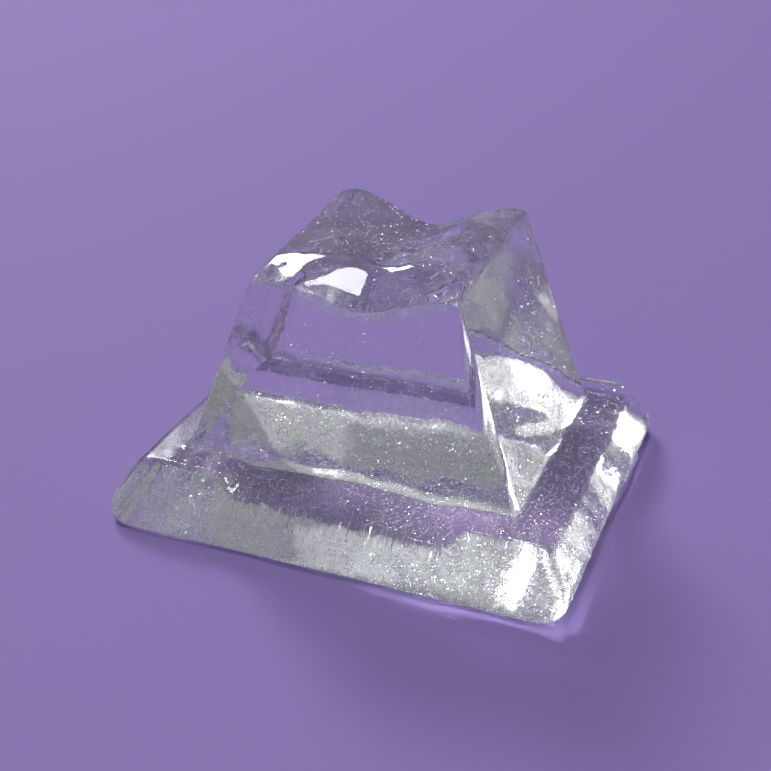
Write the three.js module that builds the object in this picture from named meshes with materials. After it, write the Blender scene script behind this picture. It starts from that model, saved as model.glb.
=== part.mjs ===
// A block of clear ice, frozen as one piece: a broad slab with bevelled sides, and on it a four-sided frustum whose
// top has melted into a trough that runs from front to back.
// Millimetres, +Z up, +X to the right, and the front faces -Y. The block stands on z = 0, and the middle of its
// footprint is the origin.
import * as THREE from "three";

// Levels, from the bottom up. Each is a rectangle seen from above, with the radii of its corners in the order
// front left, front right, back right, back left.
const SOLE = { left: -60.0, right: 59.6, front: -51.9, back: 49.9, height: 0, corners: [5.5, 5.5, 8, 6] };
const BRIM = { left: -61.6, right: 61.6, front: -51.7, back: 51.9, height: 4.6, corners: [5.5, 5.5, 8, 6] };
const RIM = { left: -54.4, right: 55.0, front: -43.3, back: 44.5, height: 16.2, corners: [2.2, 2.5, 6, 5] };
const FOOT = { left: -45.2, right: 44.4, front: -33.7, back: 33.5, height: 16.6, corners: [1.2, 1.6, 2.5, 2] };
const CROWN = { left: -26.6, right: 25.5, front: -30.1, back: 30.4, height: 67.9, corners: [1.6, 3.6, 2.6, 4.5] };

// How far each rounded edge reaches along the faces beside it, in the order of the levels.
const ROUNDINGS = [2.0, 4.0, 2.6, 2.2, 2.0];
const SOLE_INSET = 6;
const CROWN_INSET = 4.2;

// The trough in the top: its depth, the X of its bottom and its half width, at the front and at the back edge.
const TROUGH_DEPTH = [7.6, 8.0];
const TROUGH_MIDDLE = [2.1, -1.4];
const TROUGH_SPREAD = [11.0, 10.0];
const BACK_RISE = 2.0;
const LEFT_RIDGE_DROP = 1.9;
const LEFT_RIDGE_RAMP = 20;
// The top leans down to its front edge: a straight slope that fades out behind, with a steeper lip along the edge.
// It starts and ends between pairs of X, and dies out between two shares of the way back.
const FRONT_LEAN = { slope: 0.5, straight: 9.5, fading: 6, from: [-30, -2], to: [8, 27] };
const FRONT_LIP = { rise: 0.9, reach: 2.4 };
const LEAN_DIES_OUT = [0.24, 1];

// The slab's front edge has melted down between two ends, and the right one bulges a little.
const WORN_EDGE = { from: -31.9, to: 35.6, ramp: 6, drop: 3.6, retreat: 6.2, softening: 0.6 };
const RIGHT_BULGE = { from: -40.1, to: 39.9, ramp: 25, reach: 1.0 };
// Low swells where the frustum's front face meets the slab: the X of each, how far it reaches, and its half width.
const FOOT_SWELLS = [
  { middle: -26.4, reach: -0.9, spread: 9 },
  { middle: 1.6, reach: 0.9, spread: 8 },
  { middle: 25.6, reach: -0.8, spread: 9 },
];

// Fineness of the faceted surface.
const SIDE_STEPS = 24;
const HALF_CORNER_STEPS = 3;
const ROUNDING_STEPS = 4;
const FACE_STEPS = [1, 1, 2, 2, 6, 1];
const END_CROWDING = 0.5;

const SIDE = { front: 0, right: 1, back: 2, left: 3 };
const SIDE_COUNT = 4;
const ICE_COLOUR = 0xdde6ea;

const { clamp, lerp, smoothstep } = THREE.MathUtils;

// One between two ends of a stretch and zero outside, with a smooth ramp at each end.
function stretch(x, { from, to, ramp }) {
  return smoothstep(x, from, from + ramp) * (1 - smoothstep(x, to - ramp, to));
}

function bell(x, middle, spread) {
  return Math.exp(-(((x - middle) / spread) ** 2));
}

// How much the top rises behind its melted front edge.
function frontRise(x, inward, backward) {
  const { slope, straight, fading, from, to } = FRONT_LEAN;
  const share = clamp((inward - straight) / fading, 0, 1);
  const faded = fading * (share - share ** 3 + 0.5 * share ** 4);
  const leaning = slope * (Math.min(inward, straight) + faded);
  const lip = FRONT_LIP.rise * (1 - (1 - clamp(inward / FRONT_LIP.reach, 0, 1)) ** 2);
  const across = smoothstep(x, ...from) * (1 - smoothstep(x, ...to));
  return (leaning + lip) * across * (1 - smoothstep(backward, ...LEAN_DIES_OUT));
}

// Height of the melted top over a point of the plan.
function topHeight(x, y) {
  const backward = (y - CROWN.front) / (CROWN.back - CROWN.front);
  const spread = lerp(...TROUGH_SPREAD, backward) * Math.SQRT2;
  const trough = lerp(...TROUGH_DEPTH, backward) * bell(x, lerp(...TROUGH_MIDDLE, backward), spread);
  const leftRidge = LEFT_RIDGE_DROP * (1 - smoothstep(x, -LEFT_RIDGE_RAMP, 0)) * (1 - backward);
  const rise = frontRise(x, Math.max(y - CROWN.front, 0), backward);
  return CROWN.height + BACK_RISE * backward - trough - leftRidge + rise;
}

// The quarter circle at a level's corner, counterclockwise seen from above. Corner 0 is the front left one.
function cornerArc(level, number) {
  const index = number % SIDE_COUNT;
  const radius = level.corners[index];
  const onLeft = index === 0 || index === 3;
  const inFront = index < 2;
  const x = onLeft ? level.left + radius : level.right - radius;
  const y = inFront ? level.front + radius : level.back - radius;
  const start = -Math.PI + (index * Math.PI) / 2;
  return new THREE.ArcCurve(x, y, radius, start, start + Math.PI / 2, false);
}

// A level's outline, from the middle of its front left corner, with its points closer together near the corners.
function outline(level) {
  const points = [];
  const straightSteps = SIDE_STEPS - 2 * HALF_CORNER_STEPS;
  for (let side = 0; side < SIDE_COUNT; side++) {
    const from = cornerArc(level, side);
    const to = cornerArc(level, side + 1);
    const straight = new THREE.LineCurve(from.getPoint(1), to.getPoint(0));
    for (let i = 0; i < HALF_CORNER_STEPS; i++) points.push(from.getPoint(0.5 + (0.5 * i) / HALF_CORNER_STEPS));
    for (let i = 0; i <= straightSteps; i++) {
      const t = i / straightSteps;
      points.push(straight.getPoint(lerp(t, 0.5 - 0.5 * Math.cos(Math.PI * t), END_CROWDING)));
    }
    for (let i = 1; i < HALF_CORNER_STEPS; i++) points.push(to.getPoint((0.5 * i) / HALF_CORNER_STEPS));
  }
  return points.map((point) => new THREE.Vector3(point.x, point.y, level.height));
}

// How far the slab's edge has melted down at a point of the outline.
function wearAt(number, x) {
  return sideOf(number) === SIDE.front ? stretch(x, WORN_EDGE) : 0;
}

function sideOf(number) {
  return Math.floor(number / SIDE_STEPS);
}

function rimOutline() {
  return outline(RIM).map((point, number) => {
    const wear = wearAt(number, point.x);
    point.z -= WORN_EDGE.drop * wear;
    point.y -= WORN_EDGE.retreat * wear;
    if (sideOf(number) === SIDE.right) point.x += RIGHT_BULGE.reach * stretch(point.y, RIGHT_BULGE);
    return point;
  });
}

function footOutline() {
  return outline(FOOT).map((point, number) => {
    if (sideOf(number) !== SIDE.front) return point;
    const x = point.x;
    for (const { middle, reach, spread } of FOOT_SWELLS) point.y += reach * bell(x, middle, spread);
    return point;
  });
}

// A smaller copy of a level's outline around the same middle.
function inset(level, distance) {
  const middleX = (level.left + level.right) / 2;
  const middleY = (level.front + level.back) / 2;
  const scaleX = 1 - (2 * distance) / (level.right - level.left);
  const scaleY = 1 - (2 * distance) / (level.back - level.front);
  return outline(level).map(
    (point) =>
      new THREE.Vector3(
        middleX + (point.x - middleX) * scaleX,
        middleY + (point.y - middleY) * scaleY,
        point.z,
      ),
  );
}

function onTop(points) {
  return points.map((point) => point.setZ(topHeight(point.x, point.y)));
}

// A point on the way from one to another, at a distance that stays inside the face's near half.
function cutPoint(from, towards, distance) {
  const share = Math.min(0.48, distance / from.distanceTo(towards));
  return from.clone().lerp(towards, share);
}

// The block's section from the underside up to the top, through one point of each level, with rounded edges.
function section(stations, number) {
  const wear = wearAt(number, stations[3].x);
  const points = [stations[0]];
  for (let level = 1; level < stations.length - 1; level++) {
    const corner = stations[level];
    const distance = ROUNDINGS[level - 1] + (level === 3 ? WORN_EDGE.softening * wear : 0);
    const start = cutPoint(corner, stations[level - 1], distance);
    const end = cutPoint(corner, stations[level + 1], distance);
    addStraight(points, start, FACE_STEPS[level - 1]);
    const arc = new THREE.QuadraticBezierCurve3(start, corner, end);
    points.push(...arc.getPoints(ROUNDING_STEPS).slice(1));
  }
  addStraight(points, stations[stations.length - 1], FACE_STEPS[stations.length - 2]);
  return points;
}

function addStraight(points, end, steps) {
  const start = points[points.length - 1];
  for (let i = 1; i <= steps; i++) points.push(start.clone().lerp(end, i / steps));
}

// The top's points in rows from front to back, inside the ring that closes the sides.
function topRows(ring) {
  const at = (number) => ring[(number + ring.length) % ring.length];
  const rows = [];
  for (let i = 0; i <= SIDE_STEPS; i++) {
    const v = i / SIDE_STEPS;
    const row = [];
    for (let j = 0; j <= SIDE_STEPS; j++) {
      const u = j / SIDE_STEPS;
      const blend = (axis) =>
        lerp(at(j)[axis], at(3 * SIDE_STEPS - j)[axis], v) +
        lerp(at(-i)[axis], at(SIDE_STEPS + i)[axis], u) -
        lerp(
          lerp(at(0)[axis], at(SIDE_STEPS)[axis], u),
          lerp(at(3 * SIDE_STEPS)[axis], at(2 * SIDE_STEPS)[axis], u),
          v,
        );
      const x = blend("x");
      const y = blend("y");
      row.push(new THREE.Vector3(x, y, topHeight(x, y)));
    }
    rows.push(row);
  }
  return rows;
}

// The closed surface: the sides as rings of quads, a grid over the top, and the flat underside.
function blockGeometry() {
  const levels = [inset(SOLE, SOLE_INSET), outline(SOLE), outline(BRIM), rimOutline(), footOutline()];
  levels.push(onTop(outline(CROWN)), onTop(inset(CROWN, CROWN_INSET)));
  const around = SIDE_COUNT * SIDE_STEPS;
  const sections = [];
  for (let number = 0; number < around; number++) {
    const stations = levels.map((points) => points[number]);
    sections.push(section(stations, number));
  }
  const ringCount = sections[0].length;
  const vertices = [];
  const triangles = [];
  for (let ring = 0; ring < ringCount; ring++) vertices.push(...sections.map((points) => points[ring]));

  const addQuad = (a, b, c, d) => triangles.push(a, b, c, a, c, d);
  for (let ring = 0; ring < ringCount - 1; ring++) {
    for (let number = 0; number < around; number++) {
      const next = (number + 1) % around;
      const low = ring * around;
      const high = low + around;
      addQuad(low + number, low + next, high + next, high + number);
    }
  }

  const lastRing = (ringCount - 1) * around;
  const rows = topRows(vertices.slice(lastRing));
  const indexOf = (i, j) => {
    if (i === 0) return lastRing + j;
    if (i === SIDE_STEPS) return lastRing + 3 * SIDE_STEPS - j;
    if (j === 0) return lastRing + around - i;
    if (j === SIDE_STEPS) return lastRing + SIDE_STEPS + i;
    return lastRing + around + (i - 1) * (SIDE_STEPS - 1) + (j - 1);
  };
  for (let i = 1; i < SIDE_STEPS; i++) vertices.push(...rows[i].slice(1, SIDE_STEPS));
  for (let i = 0; i < SIDE_STEPS; i++) {
    for (let j = 0; j < SIDE_STEPS; j++) {
      addQuad(indexOf(i, j), indexOf(i, j + 1), indexOf(i + 1, j + 1), indexOf(i + 1, j));
    }
  }

  const underside = levels[0].map((point) => new THREE.Vector2(point.x, point.y));
  for (const [a, b, c] of THREE.ShapeUtils.triangulateShape(underside, [])) triangles.push(a, c, b);

  const geometry = new THREE.BufferGeometry().setFromPoints(vertices);
  geometry.setIndex(triangles);
  return geometry;
}

// Moves the footprint's middle to the origin, because the rounded edges stop a little short of their levels.
function centred(geometry) {
  geometry.computeBoundingBox();
  const middle = geometry.boundingBox.getCenter(new THREE.Vector3());
  geometry.translate(-middle.x, -middle.y, -geometry.boundingBox.min.z);
  geometry.computeVertexNormals();
  return geometry;
}

const clearIce = new THREE.MeshStandardMaterial({
  color: ICE_COLOUR,
  roughness: 0.08,
  metalness: 0,
  transparent: true,
  opacity: 0.35,
});

const iceBlock = new THREE.Mesh(centred(blockGeometry()), clearIce);
iceBlock.name = "ice_block";

const part = new THREE.Group();
part.add(iceBlock);

export default part;
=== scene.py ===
"""Block of clear ice: a fine melted surface, the air and frost sealed in it, and a plain studio.

Shapes are worked out in millimetres, as on a drawing, and become meshes in metres in the frame's own place.
"""

import logging
import math
from dataclasses import dataclass
from enum import Enum

import bpy
import numpy as np
from mathutils import Euler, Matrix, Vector


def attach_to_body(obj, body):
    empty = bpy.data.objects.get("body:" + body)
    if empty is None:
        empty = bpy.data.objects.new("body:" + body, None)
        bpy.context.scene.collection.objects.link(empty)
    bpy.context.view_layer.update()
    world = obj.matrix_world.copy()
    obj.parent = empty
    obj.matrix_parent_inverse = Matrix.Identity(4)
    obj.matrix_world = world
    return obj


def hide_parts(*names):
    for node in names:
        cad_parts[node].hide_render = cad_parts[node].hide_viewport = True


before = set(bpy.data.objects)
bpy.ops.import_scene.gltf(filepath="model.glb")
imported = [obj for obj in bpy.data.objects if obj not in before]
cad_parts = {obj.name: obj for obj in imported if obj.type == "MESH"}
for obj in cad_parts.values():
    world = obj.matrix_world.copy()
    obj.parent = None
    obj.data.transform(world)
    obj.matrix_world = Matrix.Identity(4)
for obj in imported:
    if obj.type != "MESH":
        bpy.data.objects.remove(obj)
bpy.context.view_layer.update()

MM = 0.001
SQUARE_CM_PER_METRE = 1e4
CUBIC_CM_PER_METRE = 1e6
NODE = "ice_block"
BODY = "root"
COVER = "cover"
ICE_BENDS_LIGHT = 1.31
NOISE_MIDDLE = (0.5, 0.5, 0.5)

Pair = tuple[float, float]
Triple = tuple[float, float, float]
Colour = tuple[float, float, float, float]
Socket = bpy.types.NodeSocket
Value = Socket | float | str | Triple | Colour | bpy.types.Material

log = logging.getLogger("ice_block")


# Small helpers for shapes

def smoothstep(values: np.ndarray, start: float, end: float) -> np.ndarray:
    """Zero before start, one after end, and smooth between."""
    share = np.clip((values - start) / (end - start), 0.0, 1.0)
    return share * share * (3.0 - 2.0 * share)


def bell(values: np.ndarray, middle: float, spread: float) -> np.ndarray:
    """A smooth hump of height one, which falls to 1/e at the spread's distance from its middle."""
    return np.exp(-(((values - middle) / spread) ** 2))


def blob(points: np.ndarray, middle: Triple, spread: Triple) -> np.ndarray:
    """The same hump in space, for points in rows."""
    return np.exp(-(((points - np.array(middle)) / np.array(spread)) ** 2).sum(axis=1))


def mix(low: float, high: float, share: np.ndarray) -> np.ndarray:
    """The value a share of the way from low to high."""
    return low + (high - low) * share


def link_object(name: str, data: bpy.types.ID) -> bpy.types.Object:
    """Puts a new object in the scene, at the origin.

    Args:
        name: the object's name.
        data: its mesh, light or camera.

    Returns:
        The object.
    """
    made = bpy.data.objects.new(name, data)
    bpy.context.scene.collection.objects.link(made)
    return made


def points_of(mesh: bpy.types.Mesh) -> np.ndarray:
    """Reads a mesh's vertices.

    Args:
        mesh: the mesh, in metres.

    Returns:
        One row of x, y and z for each vertex, in millimetres.
    """
    points = np.empty(len(mesh.vertices) * 3)
    mesh.vertices.foreach_get("co", points)
    return points.reshape(-1, 3) / MM


class Side(Enum):
    """The sides of a level's outline, counterclockwise seen from above."""

    FRONT = 0
    RIGHT = 1
    BACK = 2
    LEFT = 3


# The block

@dataclass(frozen=True)
class Level:
    """A rectangle seen from above, in millimetres.

    The corner radii run front left, front right, back right, back left.
    """

    left: float
    right: float
    front: float
    back: float
    height: float
    corners: tuple[float, float, float, float]

    def corner_arc(self, number: int, shares: np.ndarray) -> np.ndarray:
        """Points on the quarter circle at one corner.

        Args:
            number: the corner, 0 for the front left one, counterclockwise.
            shares: places along the quarter circle, from 0 to 1.

        Returns:
            One row of x and y for each share.
        """
        index = number % len(Side)
        radius = self.corners[index]
        on_left = index in (0, 3)
        on_front = index in (0, 1)
        x = self.left + radius if on_left else self.right - radius
        y = self.front + radius if on_front else self.back - radius
        angles = -math.pi + (index + shares) * math.pi / 2
        return np.column_stack([x + radius * np.cos(angles), y + radius * np.sin(angles)])

    def outline(self, side_steps: int, half_corner_steps: int) -> np.ndarray:
        """The outline from the middle of the front left corner, closer together near the corners.

        Args:
            side_steps: steps from the middle of one corner to the middle of the next.
            half_corner_steps: how many of them lie on each half corner.

        Returns:
            One row of x and y for each point.
        """
        parts = []
        half = np.arange(half_corner_steps) / (2 * half_corner_steps)
        even = np.linspace(0.0, 1.0, side_steps - 2 * half_corner_steps + 1)
        crowded = (even + (1.0 - np.cos(math.pi * even)) / 2) / 2
        for side in Side:
            leaving = self.corner_arc(side.value, 0.5 + half)
            start = self.corner_arc(side.value, np.array([1.0]))
            end = self.corner_arc(side.value + 1, np.array([0.0]))
            reaching = self.corner_arc(side.value + 1, half[1:])
            parts += [leaving, start + (end - start) * crowded[:, None], reaching]
        return np.vstack(parts)


@dataclass(frozen=True)
class Trough:
    """The hollow melted into the top, in millimetres, each pair at the front and at the back edge.

    Behind its front edge the top rises over a rounded lip and a lean, between two places across the block.
    """

    depth: Pair = (7.6, 8.0)
    middle: Pair = (2.1, -1.4)
    spread: Pair = (11.0, 10.0)
    back_rise: float = 2.0
    left_ridge_drop: float = 1.9
    left_ridge_ramp: float = 20.0
    lean: float = 0.5
    lean_straight: float = 9.5
    lean_fading: float = 6.0
    lean_from: Pair = (-30.0, -2.0)
    lean_to: Pair = (8.0, 27.0)
    lean_dies_out: Pair = (0.24, 1.0)
    lip: float = 0.9
    lip_reach: float = 2.4

    def front_rise(self, x: np.ndarray, inward: np.ndarray, backward: np.ndarray) -> np.ndarray:
        """How much the top rises behind its melted front edge.

        Args:
            x: across the block.
            inward: distance behind the front edge.
            backward: the same as a share of the top's depth.

        Returns:
            The rise at each point.
        """
        inward = np.maximum(inward, 0.0)
        share = np.clip((inward - self.lean_straight) / self.lean_fading, 0.0, 1.0)
        # The slope falls off as one less a smoothstep, and this is the area under it.
        faded = self.lean_fading * (share - share**3 + 0.5 * share**4)
        slope = self.lean * (np.minimum(inward, self.lean_straight) + faded)
        lip = self.lip * (1.0 - (1.0 - np.clip(inward / self.lip_reach, 0.0, 1.0)) ** 2)
        where = smoothstep(x, *self.lean_from) * (1.0 - smoothstep(x, *self.lean_to))
        return (slope + lip) * where * (1.0 - smoothstep(backward, *self.lean_dies_out))

    def height(self, x: np.ndarray, y: np.ndarray, crown: Level) -> np.ndarray:
        """Height of the melted top over points of the plan.

        Args:
            x: across the block.
            y: from front to back.
            crown: the level that the top is cut from.

        Returns:
            The height at each point.
        """
        backward = (y - crown.front) / (crown.back - crown.front)
        spread = mix(*self.spread, backward) * math.sqrt(2.0)
        hollow = mix(*self.depth, backward) * bell(x, mix(*self.middle, backward), spread)
        ridge = 1.0 - smoothstep(x, -self.left_ridge_ramp, 0.0)
        dropped = self.left_ridge_drop * ridge * (1.0 - backward)
        rise = self.back_rise * backward + self.front_rise(x, y - crown.front, backward)
        return crown.height + rise - hollow - dropped


@dataclass(frozen=True)
class Stretch:
    """Part of an edge between two places, with a smooth ramp at each end, in millimetres."""

    start: float
    end: float
    ramp: float

    def along(self, values: np.ndarray) -> np.ndarray:
        """One inside the stretch and zero outside it."""
        rising = smoothstep(values, self.start, self.start + self.ramp)
        return rising * (1.0 - smoothstep(values, self.end - self.ramp, self.end))


@dataclass(frozen=True)
class Swell:
    """A place where an edge seen from above swings in or out, in millimetres."""

    middle: float
    reach: float
    spread: float


@dataclass(frozen=True)
class Wave:
    """One train of low swells over the surface, in millimetres."""

    length: float
    height: float
    heading: Triple
    phase: float

    def at(self, points: np.ndarray) -> np.ndarray:
        """How far each point is lifted along its normal."""
        heading = np.array(self.heading) / np.linalg.norm(self.heading)
        return self.height * np.sin(points @ heading * (2.0 * math.pi / self.length) + self.phase)


@dataclass(frozen=True)
class Dent:
    """A shallow hollow, or a lump where the depth is negative, in millimetres."""

    middle: Triple
    spread: Triple
    depth: float

    def at(self, points: np.ndarray) -> np.ndarray:
        """How far each point is lifted along its normal."""
        return -self.depth * blob(points, self.middle, self.spread)


@dataclass(frozen=True)
class Ripple:
    """A train of fine swells that dies out away from its middle, in millimetres."""

    wave: Wave
    middle: Triple
    spread: Triple

    def at(self, points: np.ndarray) -> np.ndarray:
        """How far each point is lifted along its normal."""
        return self.wave.at(points) * blob(points, self.middle, self.spread)


@dataclass(frozen=True)
class IceBody:
    """The block itself: a bevelled slab and a frustum with a melted top, as one closed surface.

    The roundings belong to the edges from the sole up to the crown, and the steps to the faces between them.
    """

    sole: Level = Level(-60.0, 59.6, -51.9, 49.9, 0.0, (5.5, 5.5, 8.0, 6.0))
    brim: Level = Level(-61.6, 61.6, -51.7, 51.9, 4.6, (5.5, 5.5, 8.0, 6.0))
    rim: Level = Level(-54.4, 55.0, -43.3, 44.5, 16.2, (2.2, 2.5, 6.0, 5.0))
    foot: Level = Level(-45.2, 44.4, -33.7, 33.5, 16.6, (1.2, 1.6, 2.5, 2.0))
    crown: Level = Level(-26.6, 25.5, -30.1, 30.4, 67.9, (1.6, 3.6, 2.6, 4.5))
    trough: Trough = Trough()
    worn_edge: Stretch = Stretch(-31.9, 35.6, 6.0)
    wear_drop: float = 3.6
    wear_retreat: float = 6.2
    wear_softening: float = 0.6
    right_bulge: Stretch = Stretch(-40.1, 39.9, 25.0)
    bulge_reach: float = 1.0
    foot_swells: tuple[Swell, ...] = (Swell(-26.4, -0.9, 9.0), Swell(1.6, 0.9, 8.0), Swell(25.6, -0.8, 9.0))
    roundings: tuple[float, ...] = (2.0, 4.0, 2.6, 2.2, 2.0)
    most_of_face: float = 0.48
    sole_inset: float = 6.0
    crown_inset: float = 4.2
    side_steps: int = 96
    half_corner_steps: int = 8
    rounding_steps: int = 8
    face_steps: tuple[int, ...] = (1, 2, 10, 10, 30, 1)
    waves: tuple[Wave, ...] = (
        Wave(31.0, 0.10, (1.0, 0.35, 0.2), 0.4),
        Wave(23.0, 0.07, (-0.3, 1.0, 0.4), 2.1),
        Wave(17.0, 0.05, (0.2, -0.4, 1.0), 3.3),
        Wave(9.0, 0.018, (0.8, 0.5, -0.6), 5.0),
    )
    dents: tuple[Dent, ...] = (
        Dent((33.0, -6.0, 46.0), (14.0, 15.0, 12.0), 0.9),
        Dent((37.0, 4.0, 32.0), (12.0, 9.0, 7.0), -0.35),
        Dent((34.0, -21.0, 42.0), (10.0, 6.0, 14.0), -0.3),
        Dent((58.0, -8.0, 11.0), (8.0, 7.0, 6.0), 0.7),
        Dent((58.0, -24.0, 10.0), (8.0, 6.0, 6.0), -0.5),
        Dent((58.0, 14.0, 10.0), (8.0, 8.0, 6.0), -0.4),
        Dent((-5.0, -33.0, 22.0), (8.0, 6.0, 6.0), -0.45),
        Dent((6.0, -33.0, 21.0), (7.0, 6.0, 5.0), 0.35),
        Dent((22.0, -33.0, 24.0), (10.0, 6.0, 6.0), -0.3),
        Dent((-38.0, -33.0, 22.0), (6.0, 6.0, 9.0), 0.6),
        Dent((-20.0, -50.0, 8.0), (9.0, 6.0, 4.0), 0.6),
        Dent((-4.0, -50.0, 8.5), (7.0, 6.0, 4.0), -0.4),
        Dent((8.0, -50.0, 8.0), (6.0, 6.0, 4.0), 0.4),
        Dent((-21.0, -24.0, 66.0), (6.0, 6.0, 6.0), 0.6),
        Dent((-14.0, -22.0, 64.0), (5.0, 6.0, 6.0), -0.5),
    )
    ripples: tuple[Ripple, ...] = (
        Ripple(Wave(6.1, 0.15, (0.1, 0.45, 1.0), 0.0), (36.0, 2.0, 36.0), (12.0, 24.0, 14.0)),
        Ripple(Wave(3.4, 0.045, (0.0, 0.62, 1.0), 1.0), (36.0, 2.0, 36.0), (12.0, 22.0, 12.0)),
        Ripple(Wave(8.3, 0.22, (0.0, 0.35, 1.0), 2.0), (40.0, 0.0, 26.0), (12.0, 28.0, 10.0)),
        Ripple(Wave(11.0, 0.32, (0.0, 0.7, 1.0), 4.0), (40.0, -6.0, 28.0), (12.0, 26.0, 13.0)),
        Ripple(Wave(17.0, 0.40, (1.0, 0.0, 0.35), 2.6), (2.0, -33.0, 19.0), (38.0, 4.0, 5.0)),
        Ripple(Wave(14.0, 0.22, (1.0, 0.0, -0.5), 1.0), (-20.0, -50.0, 10.0), (30.0, 5.0, 7.0)),
        Ripple(Wave(6.1, 0.06, (1.0, 0.25, 0.1), 0.0), (0.0, -33.0, 21.0), (40.0, 5.0, 5.0)),
        Ripple(Wave(11.3, 0.07, (1.0, 0.0, 0.6), 0.5), (6.0, -50.0, 8.0), (40.0, 6.0, 8.0)),
        Ripple(Wave(6.1, 0.03, (1.0, 0.0, -0.9), 2.5), (6.0, -50.0, 8.0), (50.0, 6.0, 8.0)),
        Ripple(Wave(7.3, 0.09, (0.0, 1.0, 0.5), 0.5), (58.0, 0.0, 8.0), (8.0, 50.0, 8.0)),
        Ripple(Wave(4.7, 0.04, (0.0, 1.0, -0.8), 2.5), (58.0, 0.0, 8.0), (8.0, 50.0, 8.0)),
    )
    calm_height: float = 3.0

    def outline(self, level: Level) -> np.ndarray:
        """A level's outline at this surface's fineness, with its height as the third column."""
        flat = level.outline(self.side_steps, self.half_corner_steps)
        return np.column_stack([flat, np.full(len(flat), level.height)])

    def is_on(self, side: Side) -> np.ndarray:
        """Whether each point of an outline belongs to a side."""
        return np.repeat([one is side for one in Side], self.side_steps)

    def wear(self, x: np.ndarray) -> np.ndarray:
        """How far the slab's front edge has melted down at each point of an outline."""
        return self.worn_edge.along(x) * self.is_on(Side.FRONT)

    def rim_outline(self) -> np.ndarray:
        """The slab's upper edge, melted down along its front and bulging a little on the right.

        Returns:
            One row of x, y and z for each point.
        """
        points = self.outline(self.rim)
        wear = self.wear(points[:, 0])
        points[:, 2] -= self.wear_drop * wear
        points[:, 1] -= self.wear_retreat * wear
        points[:, 0] += self.bulge_reach * self.right_bulge.along(points[:, 1]) * self.is_on(Side.RIGHT)
        return points

    def foot_outline(self) -> np.ndarray:
        """Where the frustum meets the slab, with the low swells of its front side.

        Returns:
            One row of x, y and z for each point.
        """
        points = self.outline(self.foot)
        x = points[:, 0].copy()
        for swell in self.foot_swells:
            points[:, 1] += swell.reach * bell(x, swell.middle, swell.spread) * self.is_on(Side.FRONT)
        return points

    def inset(self, level: Level, distance: float) -> np.ndarray:
        """A smaller copy of a level's outline around the same middle.

        Args:
            level: the level to copy.
            distance: how far the copy's sides lie inside the level's.

        Returns:
            The outline of the copy, at the level's height.
        """
        points = self.outline(level)
        middle = np.array([level.left + level.right, level.front + level.back]) / 2
        size = np.array([level.right - level.left, level.back - level.front])
        points[:, :2] = middle + (points[:, :2] - middle) * (1.0 - 2.0 * distance / size)
        return points

    def on_top(self, points: np.ndarray) -> np.ndarray:
        """Lifts points of the plan to the height of the melted top, and returns them."""
        points[..., 2] = self.trough.height(points[..., 0], points[..., 1], self.crown)
        return points

    def rings(self) -> np.ndarray:
        """The sides as rings of points from the underside up to the top, with every edge rounded.

        Returns:
            An array of rings, each with one row of x, y and z for each point round the block.
        """
        rim = self.rim_outline()
        stations = [
            self.inset(self.sole, self.sole_inset),
            self.outline(self.sole),
            self.outline(self.brim),
            rim,
            self.foot_outline(),
            self.on_top(self.outline(self.crown)),
            self.on_top(self.inset(self.crown, self.crown_inset)),
        ]
        rings = [stations[0]]
        edges = zip(stations, stations[1:], stations[2:], self.roundings, self.face_steps)
        for below, corner, above, rounding, steps in edges:
            softening = self.wear_softening * self.wear(corner[:, 0]) if corner is rim else 0.0
            cut = np.full(len(corner), rounding) + softening
            start = self.cut_points(corner, below, cut)
            end = self.cut_points(corner, above, cut)
            self.add_straight(rings, start, steps)
            for share in np.linspace(0.0, 1.0, self.rounding_steps + 1)[1:]:
                rest = 1.0 - share
                rings.append(rest * rest * start + 2.0 * share * rest * corner + share * share * end)
        self.add_straight(rings, stations[-1], self.face_steps[-1])
        return np.array(rings)

    def cut_points(self, corner: np.ndarray, towards: np.ndarray, distance: np.ndarray) -> np.ndarray:
        """Where a rounding of a given reach leaves a face, less than halfway to its other edge."""
        reach = np.linalg.norm(towards - corner, axis=1)
        return corner + (towards - corner) * np.minimum(self.most_of_face, distance / reach)[:, None]

    @staticmethod
    def add_straight(rings: list[np.ndarray], end: np.ndarray, steps: int) -> None:
        """Adds rings at even steps from the last one to the end one."""
        start = rings[-1]
        rings.extend(start + (end - start) * share for share in np.linspace(0.0, 1.0, steps + 1)[1:])

    def top_grid(self, ring: np.ndarray) -> np.ndarray:
        """Points over the top inside the last ring, in rows from front to back.

        Args:
            ring: the last ring of the sides.

        Returns:
            A square array of points whose border is the ring.
        """
        steps = self.side_steps
        numbers = np.arange(steps + 1)
        front = ring[numbers]
        right = ring[steps + numbers]
        back = ring[3 * steps - numbers]
        left = ring[-numbers]
        u = (numbers / steps)[None, :, None]
        v = (numbers / steps)[:, None, None]
        along = (1 - v) * front[None] + v * back[None]
        across = (1 - u) * left[:, None] + u * right[:, None]
        ends = (1 - v) * ((1 - u) * front[0] + u * front[-1]) + v * ((1 - u) * back[0] + u * back[-1])
        return self.on_top(along + across - ends)

    def top_faces(self, last: int, around: int) -> list[list[int]]:
        """The faces of the top, between the last ring and the points inside it.

        Args:
            last: number of the last ring's first vertex.
            around: how many vertices a ring has.

        Returns:
            The faces as lists of vertex numbers.
        """
        steps = self.side_steps
        line = np.arange(steps + 1)
        index = np.empty((steps + 1, steps + 1), int)
        index[1:-1, 1:-1] = last + around + np.arange((steps - 1) ** 2).reshape(steps - 1, steps - 1)
        index[0] = last + line
        index[-1] = last + 3 * steps - line
        index[:, -1] = last + steps + line
        index[:, 0] = last + (around - line) % around
        quads = np.stack([index[:-1, :-1], index[:-1, 1:], index[1:, 1:], index[1:, :-1]], axis=-1)
        return quads.reshape(-1, 4).tolist()

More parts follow.
